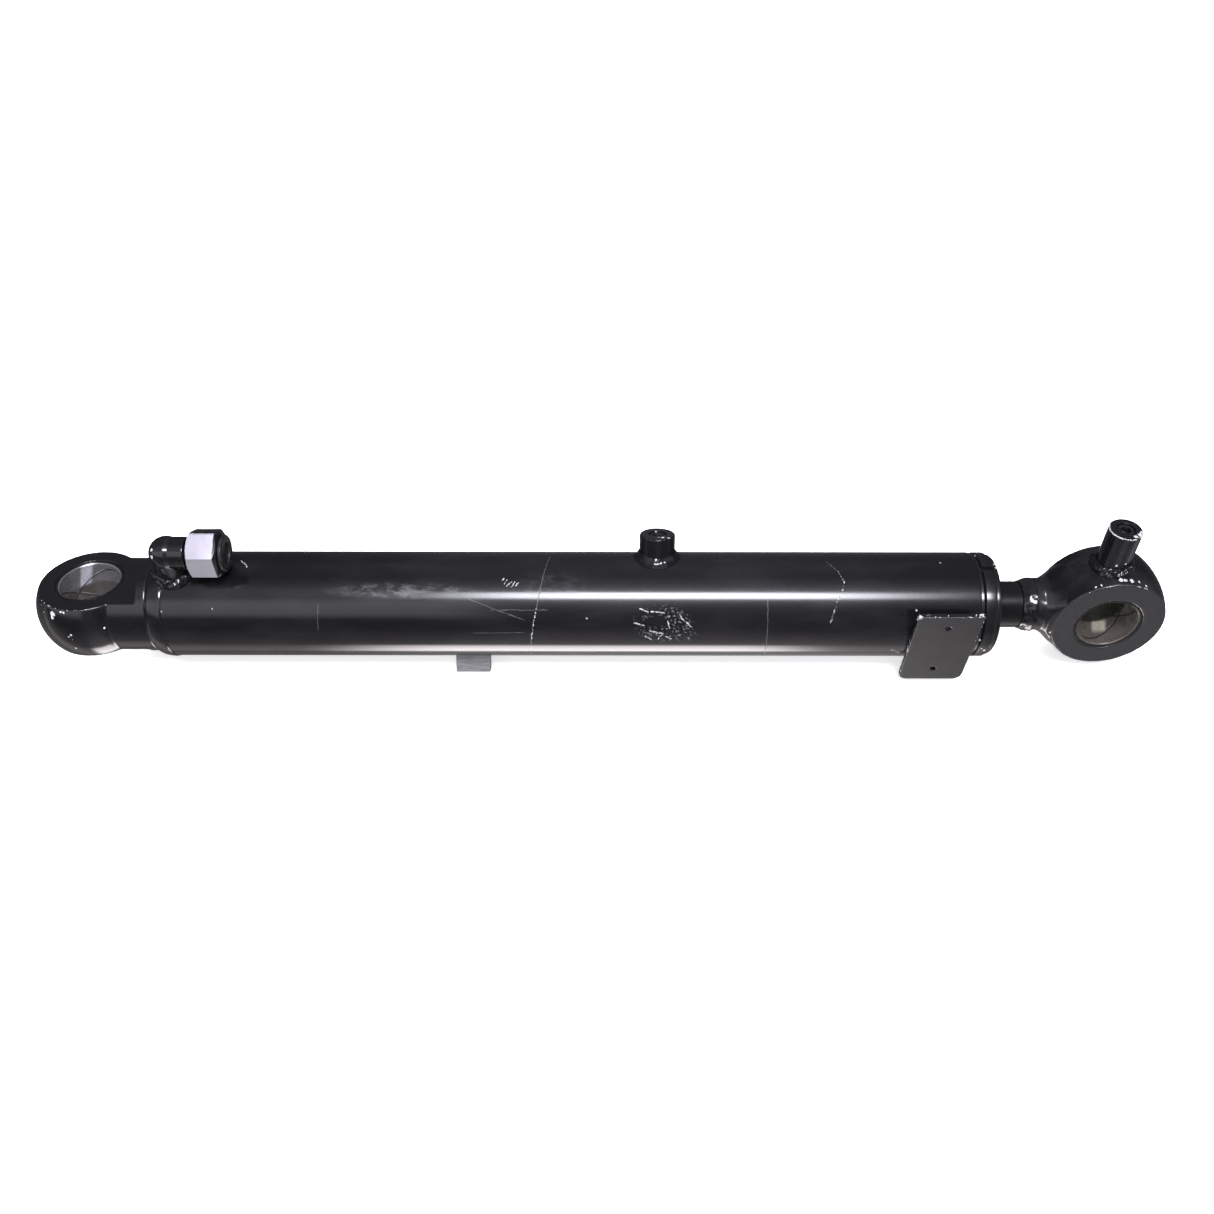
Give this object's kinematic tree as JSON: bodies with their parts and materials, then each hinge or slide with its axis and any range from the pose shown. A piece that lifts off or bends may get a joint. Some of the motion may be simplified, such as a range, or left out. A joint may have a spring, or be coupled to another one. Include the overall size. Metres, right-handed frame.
{
  "type": "telescopic hydraulic cylinder",
  "caption": "Double-acting telescopic hydraulic cylinder, closed, with bushed pin eyes, a welded elbow port with a swivel nut, a boss, a port post and a bracket plate.",
  "frame": {"origin": "centre of the base pin's bore", "axes": "+X along the cylinder towards the rod end, +Z along the base pin, out of the face by the elbow port"},
  "size_m": [0.9666, 0.1064, 0.1442],
  "materials": {
    "black_paint": "gloss black enamel on steel, a little chipped at the edges",
    "chrome": "hard chrome, ground and polished",
    "turned_steel": "turned, bare",
    "zinc_plate": "bright zinc plate, satin, with paint overspray at the back",
    "bush_steel": "hardened steel, bored smooth",
    "seal_rubber": "nitrile rubber, satin",
    "seal_polyurethane": "moulded polyurethane, satin",
    "guide_resin": "fabric-filled resin strip, matte",
    "plug_plastic": "moulded polyethylene, satin"
  },
  "bodies": {
    "barrel": {"barrel_tube": "black_paint", "base_eye": "black_paint", "base_eye_bush": "bush_steel", "base_weld": "black_paint", "barrel_gland": "black_paint", "gland_guide_ring": "guide_resin", "gland_seal": "seal_polyurethane", "gland_o_ring": "seal_rubber", "gland_wiper": "seal_polyurethane", "port_elbow": "black_paint", "elbow_weld": "black_paint", "barrel_boss": "black_paint", "boss_weld": "black_paint", "boss_plug": "turned_steel", "clamp_tab": "black_paint", "bracket_plate": "black_paint"},
    "port_nut": {"union_nut": "zinc_plate", "port_plug": "plug_plastic"},
    "sleeve": {"sleeve_tube": "chrome", "sleeve_piston": "turned_steel", "sleeve_guide_ring_1": "guide_resin", "sleeve_piston_seal": "seal_polyurethane", "sleeve_guide_ring_2": "guide_resin", "sleeve_stop_tube": "turned_steel", "sleeve_head": "black_paint", "head_guide_ring": "guide_resin", "head_rod_seal": "seal_polyurethane", "head_o_ring": "seal_rubber", "head_wiper": "seal_polyurethane"},
    "piston_seals": {"rod_piston_seal": "seal_polyurethane", "rod_guide_ring": "guide_resin"},
    "rod": {"rod": "chrome", "rod_piston": "turned_steel", "rod_stop_tube": "turned_steel", "piston_nut": "turned_steel", "rod_eye": "black_paint", "rod_eye_bush": "bush_steel", "rod_weld": "black_paint", "rod_port_post": "black_paint", "post_weld": "black_paint", "post_plug": "turned_steel"}
  },
  "joints": [
    {"name": "sleeve_slide", "type": "slide", "parent": "barrel", "child": "sleeve", "axis": [1, 0, 0], "range_m": [0, 0.52]},
    {"name": "rod_slide", "type": "slide", "parent": "sleeve", "child": "piston_seals", "axis": [1, 0, 0], "range_m": [0, 0.52]},
    {"name": "rod_turn", "type": "hinge", "parent": "piston_seals", "child": "rod", "pos_m": [0.868, 0, 0], "axis": [1, 0, 0], "continuous": true},
    {"name": "nut_spin", "type": "hinge", "parent": "barrel", "child": "port_nut", "pos_m": [0.11, -0.01496, 0.0648], "axis": [1, 0, 0], "continuous": true}
  ]
}
